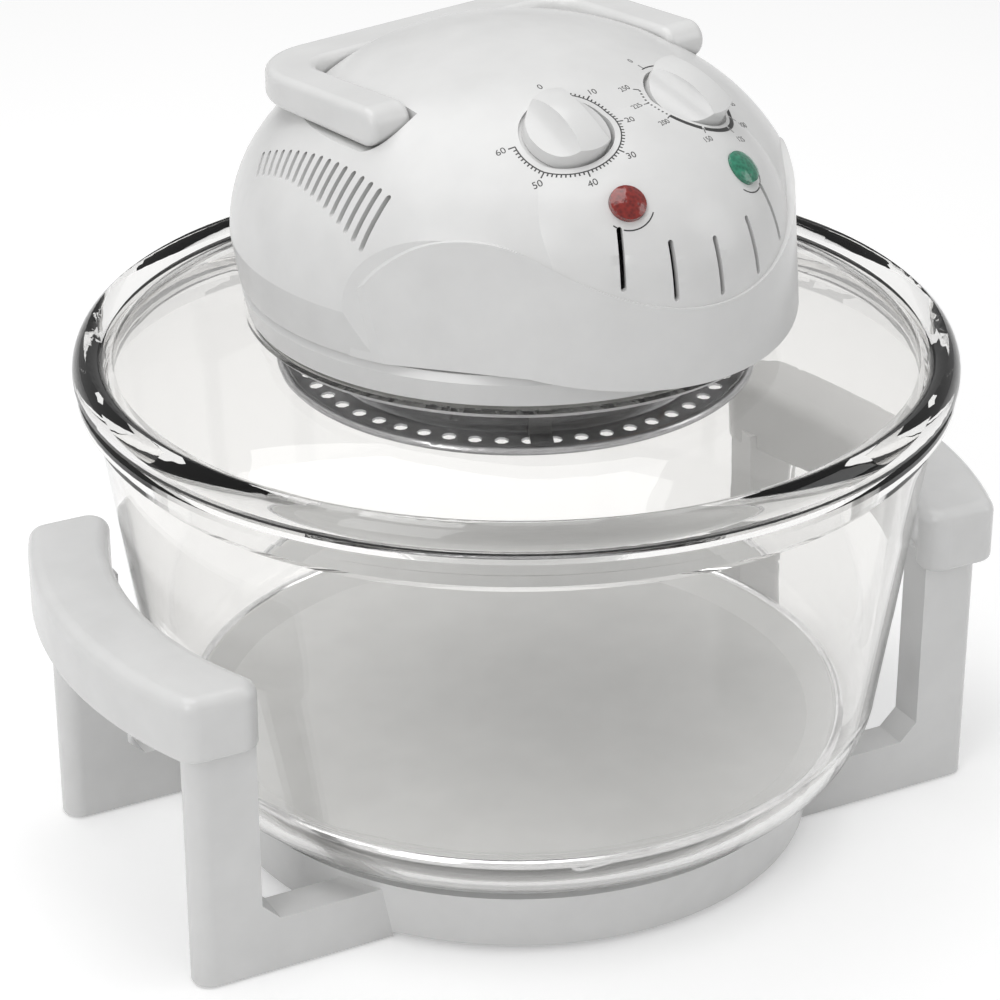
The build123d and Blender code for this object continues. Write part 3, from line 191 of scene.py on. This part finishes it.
chrome = metal("chrome_wire", colour(0.66, 0.66, 0.67), colour(0.8, 0.8, 0.81), 0.08, 0.16)
guard_steel = metal("guard_steel", colour(0.34, 0.34, 0.35), colour(0.48, 0.48, 0.49), 0.14, 0.26)
strap_steel = metal("strap_steel", colour(0.10, 0.10, 0.10), colour(0.16, 0.16, 0.16), 0.3, 0.45)
steel = metal("steel", colour(0.42, 0.42, 0.43), colour(0.56, 0.56, 0.57), 0.28, 0.42)
core_steel = metal("core_steel", colour(0.2, 0.21, 0.22), colour(0.3, 0.31, 0.32), 0.4, 0.6, (1.0, 1.0, 60.0))
aluminium = metal("aluminium_sheet", colour(0.7, 0.7, 0.7), colour(0.82, 0.82, 0.82), 0.22, 0.34)
copper = metal("copper", colour(0.6, 0.3, 0.16), colour(0.74, 0.42, 0.26), 0.25, 0.4)
bronze = metal("bronze", colour(0.45, 0.32, 0.16), colour(0.58, 0.44, 0.26), 0.4, 0.55)
print("metals made")

# %% [markdown]
# ## Glass
# The bowl and the lid are pressed clear glass.  Light has to pass through them on its way to the tray,
# so rays from the lamps meet a clear film in place of the refracting glass: this is what keeps the
# inside of the bowl bright.  The glass itself has a faint warm grey body colour.


# %% Glass and lenses
def see_through(name, tint, film, roughness=0.0, index=1.47):
    """Refracting glass that lets the lamps' light through as a tinted film."""
    material, tree, output = new_material(name)
    waves = mottling(tree, 40.0, 1.0)
    normal = node(tree, "ShaderNodeBump", Height=waves, Strength=0.05, Distance=0.0002).outputs["Normal"]
    glass = node(tree, "ShaderNodeBsdfPrincipled", Base_Color=tint, Roughness=roughness, IOR=index,
                 Transmission_Weight=1.0, Normal=normal)
    clear = node(tree, "ShaderNodeBsdfTransparent", Color=film)
    path = tree.nodes.new("ShaderNodeLightPath")
    for_lamps = node(tree, "ShaderNodeMath", set_operation="MAXIMUM")
    tree.links.new(path.outputs["Is Shadow Ray"], for_lamps.inputs[0])
    tree.links.new(path.outputs["Is Diffuse Ray"], for_lamps.inputs[1])
    mix = tree.nodes.new("ShaderNodeMixShader")
    tree.links.new(for_lamps.outputs["Value"], mix.inputs[0])
    tree.links.new(glass.outputs["BSDF"], mix.inputs[1])
    tree.links.new(clear.outputs["BSDF"], mix.inputs[2])
    tree.links.new(mix.outputs["Shader"], output.inputs["Surface"])
    return material


pressed_glass = see_through("pressed_glass", colour(0.93, 0.925, 0.915), colour(0.95, 0.95, 0.95))
quartz = see_through("quartz", colour(0.95, 0.95, 0.94), colour(0.9, 0.9, 0.9), 0.02)


def lens_plastic(name, deep, painted_glint):
    """Faceted translucent lens: a fine pattern of facets is moulded on its back, with a painted glint towards
    each facet's edge.
    """
    material, tree, output = new_material(name)
    place = tree.nodes.new("ShaderNodeTexCoord").outputs["Object"]
    cells = node(tree, "ShaderNodeTexVoronoi", Vector=place, Scale=700.0).outputs["Distance"]
    normal = node(tree, "ShaderNodeBump", Height=cells, Strength=0.4, Distance=0.0003).outputs["Normal"]
    # The colour is painted light: each facet is the deep lens colour in its middle and a painted glint towards
    # its edge.
    shader = node(tree, "ShaderNodeBsdfPrincipled", Base_Color=shades(tree, cells, deep, painted_glint, 0.1, 0.8),
                  Roughness=0.12, IOR=1.49, Coat_Weight=0.8, Coat_Roughness=0.04, Normal=normal)
    tree.links.new(shader.outputs["BSDF"], output.inputs["Surface"])
    return material


# The second colour of each lens is its painted glint.
red_lens = lens_plastic("red_lens", colour(0.13, 0.006, 0.005), colour(0.27, 0.018, 0.012))
green_lens = lens_plastic("green_lens", colour(0.01, 0.13, 0.075), colour(0.03, 0.25, 0.15))
print("glass and lenses made")

# %% [markdown]
# ## Enamel
# The baking tray is enamelled steel: a thick, glossy, slightly uneven white coat.  The unevenness is in the
# coat's surface, so it goes into the bump, made with the same noise as on plastic and a lower strength.

# %% Enamel
enamel = moulded_plastic("white_enamel", colour(0.78, 0.78, 0.765), colour(0.83, 0.83, 0.815), 0.12, 0.2, 0.1)
print("enamel made")

# %% [markdown]
# ## Dressing the CAD pieces
# Most pieces keep their exact CAD shape, and only need their finish.  A dictionary from finish to nodes
# keeps the choice of finishes in one place.

# %% Finishes of the CAD pieces
FINISHES = {
    white_plastic: ["base_ring", "right_handle_bracket", "left_handle_bracket", "lower_housing",
                    "upper_housing", "carry_handle", "timer_knob", "temperature_knob"],
    black_plastic: ["cord_gland", "safety_switch", "switch_plunger", "thermostat_body",
                    "pilot_lamp_holders", "cooling_fan"],
    rubber: ["stand_feet"],
    silicone: ["head_gasket", "clamp_gasket"],
    ceramic: ["lamp_end_caps", "terminal_block"],
    coil_wrap: ["motor_coil"],
    chrome: ["low_rack", "tray_rim"],
    guard_steel: ["lamp_guard"],
    strap_steel: ["guard_straps"],
    steel: ["bracket_screws", "clamp_ring", "housing_screws", "handle_pins", "timer_body", "timer_bell",
            "reflector", "lamp_holders", "motor_bracket", "motor_bridge", "thermal_fuse", "timer_shaft",
            "thermostat_shaft", "motor_shaft", "fan_nut"],
    core_steel: ["motor_stack", "motor_rotor"],
    aluminium: ["convection_fan"],
    copper: ["thermostat_bulb"],
    bronze: ["motor_bearings"],
    pressed_glass: ["glass_bowl", "glass_lid"],
    quartz: ["halogen_lamp"],
    red_lens: ["power_lens"],
    green_lens: ["heat_lens"],
    enamel: ["baking_tray"],
}

for finish, names in FINISHES.items():
    for name in names:
        piece = nodes[name]
        piece.data.materials.clear()
        piece.data.materials.append(finish)
undressed = sorted(set(nodes) - {name for names in FINISHES.values() for name in names})
print("pieces without a finish:", undressed)

# %% [markdown]
# ## The print round the dials
# The dials' scales are printed on the panel in thin black ink.  The panel is domed, so a flat drawing
# would sink into it or float above it.  Each mark is therefore drawn flat in the knob's own plane, in
# millimetres, and every corner of it is then dropped on to the moulded surface along the knob's axis.

# %% Planes of the knobs and pilot lights
INK_THICKNESS = 0.06 * MM
KNOB_SPOT, KNOB_TILT, KNOB_LEAN = (27.3, -59.4, 298.4), 27.0, 4.0
LIGHT_SPOT, LIGHT_TILT, LIGHT_LEAN = (26.3, -89.6, 281.0), 41.0, 12.0


def panel_axes(spot, tilt, lean, side):
    """Origin, level direction, up-slope direction and outward direction; side -1 is the timer's."""
    t, a = radians(tilt), radians(lean)
    out = Vector((side * sin(a), -sin(t) * cos(a), cos(t) * cos(a)))
    level = Vector((0, 0, 1)).cross(out).normalized()
    return Vector((side * spot[0], spot[1], spot[2])) * MM, level, out.cross(level), out


casing = nodes["upper_housing"].data
casing_surface = BVHTree.FromPolygons([v.co.copy() for v in casing.vertices],
                                      [tuple(p.vertices) for p in casing.polygons])
print("faces of the casing to print on:", len(casing.polygons))

# %% [markdown]
# An arc is a strip of short four-sided faces, because a long face would cut through the dome.  The
# strip's width may grow along the arc, as the temperature scale's does.


# %% Drawing arcs, ticks and numbers
def arc_strip(radius, start, end, width, end_width=None, step=3.0):
    """Faces of a printed arc; angles run clockwise from the top of the dial."""
    count = max(1, round(abs(end - start) / step))
    faces = []
    for i in range(count):
        corners = []
        for share, way in ((i, -1), (i, 1), (i + 1, 1), (i + 1, -1)):
            turn = radians(start + (end - start) * share / count)
            half = (width + ((end_width or width) - width) * share / count) / 2
            corners.append(((radius + way * half) * sin(turn), (radius + way * half) * cos(turn)))
        faces.append(corners)
    return faces


def tick(turn, inner, outer, width):
    """Face of one printed line that points away from the dial's middle."""
    a = radians(turn)
    along, across = (sin(a), cos(a)), (cos(a), -sin(a))
    return [(along[0] * r + across[0] * w, along[1] * r + across[1] * w)
            for r, w in ((inner, -width / 2), (outer, -width / 2), (outer, width / 2), (inner, width / 2))]


def number_faces(text, turn, radius, height):
    """Faces of an upright number centred at a place round the dial."""
    curve = bpy.data.curves.new("number", "FONT")
    curve.body, curve.size = text, height
    curve.align_x, curve.align_y = "CENTER", "CENTER"
    holder = bpy.data.objects.new("number", curve)
    bpy.context.scene.collection.objects.link(holder)
    bpy.context.view_layer.update()
    flat = bpy.data.meshes.new_from_object(holder.evaluated_get(bpy.context.evaluated_depsgraph_get()))
    x, y = radius * sin(radians(turn)), radius * cos(radians(turn))
    faces = [[(flat.vertices[v].co.x + x, flat.vertices[v].co.y + y) for v in p.vertices] for p in flat.polygons]
    bpy.data.objects.remove(holder)
    return faces


# %% [markdown]
# The ink is a thin matt black layer.  It is given a real thickness by a solidify modifier, because a
# printed face with no thickness would flicker against the plastic.

# %% Ink
DROP_HEIGHT = 0.02          # metres above the plane from which each corner is dropped
INK_CLEARANCE = 0.00001     # metres from the moulded surface to the middle of the ink


def black_ink():
    material, tree, output = new_material("black_ink")
    patches = mottling(tree, 800.0)
    shader = node(tree, "ShaderNodeBsdfPrincipled",
                  Base_Color=shades(tree, patches, colour(0.02, 0.02, 0.02), colour(0.06, 0.06, 0.06)),
                  Roughness=spread(tree, patches, 0.35, 0.55))
    tree.links.new(shader.outputs["BSDF"], output.inputs["Surface"])
    return material


ink = black_ink()
print("ink:", ink.name)


def print_on_panel(name, axes, faces):
    """Drops flat faces on to the casing along the plane's outward direction."""
    origin, level, up, out = axes
    points, polygons = [], []
    for face in faces:
        corners = []
        for x, y in face:
            flat = origin + (level * x + up * y) * MM
            hit = casing_surface.ray_cast(flat + out * DROP_HEIGHT, -out)[0]
            if hit is None:
                corners = None
                break
            points.append(hit + out * INK_CLEARANCE)
            corners.append(len(points) - 1)
        if corners:
            polygons.append(corners)
    mesh = bpy.data.meshes.new(name)
    mesh.from_pydata(points, [], polygons)
    mesh.materials.append(ink)
    mark = bpy.data.objects.new(name, mesh)
    bpy.context.scene.collection.objects.link(mark)
    thick = mark.modifiers.new("ink", "SOLIDIFY")
    thick.thickness, thick.offset = INK_THICKNESS, 0.0
    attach(mark, "lid")
    print(name, "faces:", len(polygons))
    return mark


# %% [markdown]
# The timer runs to 60 minutes clockwise.  It has one short line a minute and a longer one, with its
# number, every ten minutes.

# %% Timer scale
TIMER_START, TIMER_STEP, SCALE_RADIUS = 51.0, 44.8, 18.4
timer_marks = arc_strip(SCALE_RADIUS, TIMER_START - TIMER_STEP, TIMER_START + 5 * TIMER_STEP, 0.45)
for i in range(61):
    turn = TIMER_START + TIMER_STEP * (i - 10) / 10
    timer_marks.append(tick(turn, SCALE_RADIUS, SCALE_RADIUS + (2.4 if i % 10 == 0 else 1.2), 0.5))
for i in range(7):
    timer_marks += number_faces(str(10 * i), TIMER_START + TIMER_STEP * (i - 1), SCALE_RADIUS + 5.0, 3.6)
print_on_panel("timer_scale", panel_axes(KNOB_SPOT, KNOB_TILT, KNOB_LEAN, -1), timer_marks)

# %% [markdown]
# The temperature scale swells from a hairline to a thick band and then breaks up into dots, so that a
# cook can read more or less heat at a glance.

# %% Temperature scale
heat_marks = arc_strip(SCALE_RADIUS, -14.0, 104.0, 0.45, 1.7)
for start, end in ((105.5, 129.5), (132.5, 163.5), (166.5, 208.5), (211.5, 250.0)):
    heat_marks += arc_strip(SCALE_RADIUS, start, end, 1.7)
for turn in range(254, 302, 5):
    heat_marks.append(tick(turn, SCALE_RADIUS - 0.4, SCALE_RADIUS + 0.4, 0.6))
for turn, text in ((-10.0, "0"), (104.0, "65"), (131.0, "100"), (165.0, "125"), (210.0, "150"), (250.0, "200"),
                   (278.0, "225"), (301.0, "250")):
    heat_marks.append(tick(turn, SCALE_RADIUS, SCALE_RADIUS + 2.4, 0.4))
    heat_marks += number_faces(text, turn, SCALE_RADIUS + 5.6, 3.2)
print_on_panel("temperature_scale", panel_axes(KNOB_SPOT, KNOB_TILT, KNOB_LEAN, 1), heat_marks)

# %% [markdown]
# A short arc under each pilot light ties the light to the panel.

# %% Arcs under the pilot lights
for side, name in ((-1, "power_arc"), (1, "heat_arc")):
    print_on_panel(name, panel_axes(LIGHT_SPOT, LIGHT_TILT, LIGHT_LEAN, side), arc_strip(9.2, 118.0, 226.0, 0.45))

# %% [markdown]
# ## Floor, world and lamps
# The oven stands on a plain pale floor.  The floor is near white to the camera, and metal and glass see
# it the same way, while it bounces plain daylight on to the oven.  Three soft lamps light the oven at a
# plain level: a broad one above, a key from the front left and a weak one from the right.


# %% Floor
def pale_floor():
    mesh = bpy.data.meshes.new("floor")
    size = 12.0
    mesh.from_pydata([(-size, -size, 0), (size, -size, 0), (size, size, 0), (-size, size, 0)], [], [(0, 1, 2, 3)])
    floor = bpy.data.objects.new("floor", mesh)
    bpy.context.scene.collection.objects.link(floor)
    material, tree, output = new_material("floor")
    patches = mottling(tree, 3.0)
    matt = node(tree, "ShaderNodeBsdfDiffuse", Color=shades(tree, patches, colour(0.80, 0.80, 0.80),
                                                            colour(0.82, 0.82, 0.82)))
    glow = node(tree, "ShaderNodeEmission", Color=colour(1, 1, 1), Strength=0.34)
    path = tree.nodes.new("ShaderNodeLightPath")
    seen = node(tree, "ShaderNodeMath", set_operation="ADD")
    tree.links.new(path.outputs["Is Camera Ray"], seen.inputs[0])
    tree.links.new(path.outputs["Is Glossy Ray"], seen.inputs[1])
    seen_all = node(tree, "ShaderNodeMath", set_operation="ADD", set_use_clamp=True)
    tree.links.new(seen.outputs["Value"], seen_all.inputs[0])
    tree.links.new(path.outputs["Is Transmission Ray"], seen_all.inputs[1])
    dark = node(tree, "ShaderNodeEmission", Color=colour(0, 0, 0), Strength=0.0)
    pick = tree.nodes.new("ShaderNodeMixShader")
    tree.links.new(seen_all.outputs["Value"], pick.inputs[0])
    tree.links.new(dark.outputs["Emission"], pick.inputs[1])
    tree.links.new(glow.outputs["Emission"], pick.inputs[2])
    both = tree.nodes.new("ShaderNodeAddShader")
    tree.links.new(matt.outputs["BSDF"], both.inputs[0])
    tree.links.new(pick.outputs["Shader"], both.inputs[1])
    tree.links.new(both.outputs["Shader"], output.inputs["Surface"])
    mesh.materials.append(material)
    return floor


floor = pale_floor()
print("floor:", floor.name)


# %% [markdown]
# The world gives an even fill from all sides.  To the camera and through glass it is plain white.

# %% World
def plain_world():
    world = bpy.data.worlds.new("studio")
    world.use_nodes = True
    tree = world.node_tree
    tree.nodes.clear()
    output = tree.nodes.new("ShaderNodeOutputWorld")
    path = tree.nodes.new("ShaderNodeLightPath")
    lights = node(tree, "ShaderNodeBackground", Color=colour(1, 1, 1), Strength=0.42)
    seen = node(tree, "ShaderNodeBackground", Color=colour(1, 1, 1), Strength=1.0)
    either = node(tree, "ShaderNodeMath", set_operation="ADD", set_use_clamp=True)
    tree.links.new(path.outputs["Is Camera Ray"], either.inputs[0])
    tree.links.new(path.outputs["Is Transmission Ray"], either.inputs[1])
    mix = tree.nodes.new("ShaderNodeMixShader")
    tree.links.new(either.outputs["Value"], mix.inputs[0])
    tree.links.new(lights.outputs["Background"], mix.inputs[1])
    tree.links.new(seen.outputs["Background"], mix.inputs[2])
    tree.links.new(mix.outputs["Shader"], output.inputs["Surface"])
    bpy.context.scene.world = world


plain_world()
print("world:", bpy.context.scene.world.name)


# %% [markdown]
# Large lamps far away give soft edges to the shadows, as the soft boxes of a studio do.

# %% Lamps
def soft_lamp(name, place, target, size, power):
    lamp = bpy.data.lights.new(name, "AREA")
    lamp.shape = "RECTANGLE"
    lamp.size, lamp.size_y = size
    lamp.energy = power
    holder = bpy.data.objects.new(name, lamp)
    bpy.context.scene.collection.objects.link(holder)
    holder.location = place
    holder.rotation_mode = "QUATERNION"
    holder.rotation_quaternion = (Vector(place) - Vector(target)).to_track_quat("Z", "Y")
    return holder


OVEN_MIDDLE = (0, 0, 0.18)
soft_lamp("overhead_lamp", (-0.2, 0.2, 1.9), OVEN_MIDDLE, (1.6, 1.6), 17.0)
soft_lamp("key_lamp", (-1.9, -0.7, 1.3), OVEN_MIDDLE, (1.0, 1.4), 12.0)
soft_lamp("side_lamp", (1.5, -1.5, 1.0), OVEN_MIDDLE, (0.8, 1.2), 5.0)
print("three soft lamps")
